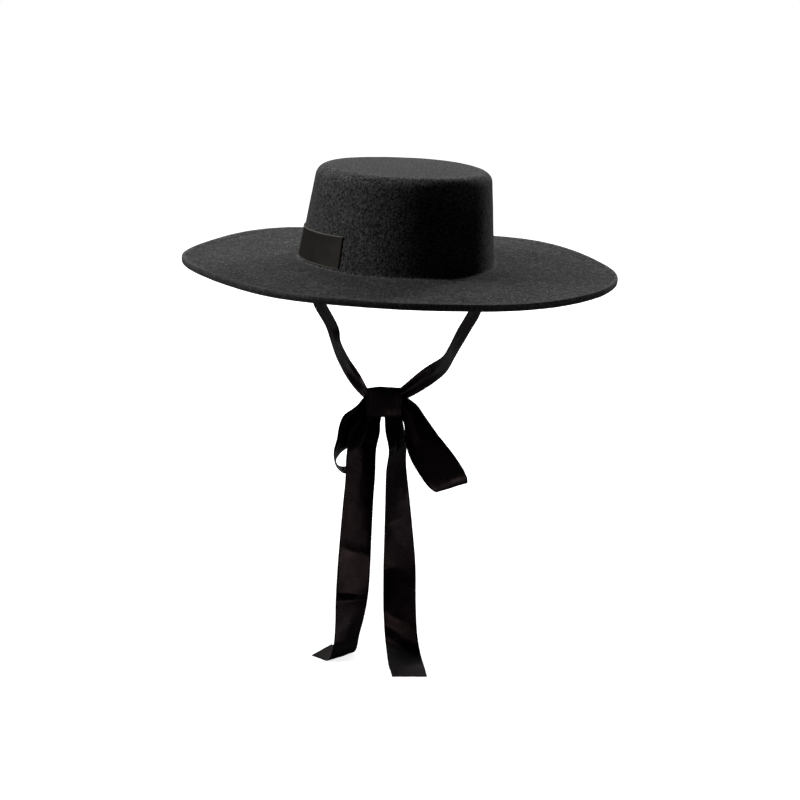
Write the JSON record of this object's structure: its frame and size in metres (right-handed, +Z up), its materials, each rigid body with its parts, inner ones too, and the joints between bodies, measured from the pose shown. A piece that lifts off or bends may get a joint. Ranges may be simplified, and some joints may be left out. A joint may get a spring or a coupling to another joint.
{
  "type": "boater hat",
  "caption": "Flat-crowned, wide-brimmed felt hat in its worn form, with ribbon ties knotted in a bow below and hanging tails.",
  "frame": {"origin": "middle of the head opening, in the plane where the crown meets the brim", "axes": "+Z up through the crown, -Y the way the wearer faces, +X the wearer's left; the hat is rolled 2.8 degrees and tilted 1.2 degrees as worn"},
  "size_m": [0.3955, 0.4218, 0.4418],
  "materials": {
    "wool_felt": "matt fuzzy wool felt, charcoal black",
    "label_ribbon": "soft matt woven ribbon, brown black",
    "tie_ribbon": "ribbed ribbon, black, soft sheen"
  },
  "bodies": {
    "root": {"felt_body": "wool_felt", "side_label": "label_ribbon", "tie_right": "tie_ribbon", "tie_left": "tie_ribbon", "bow_knot": "tie_ribbon", "bow_loop_right": "tie_ribbon", "bow_loop_left": "tie_ribbon", "tie_tail_right": "tie_ribbon", "tie_tail_left": "tie_ribbon"}
  },
  "joints": []
}
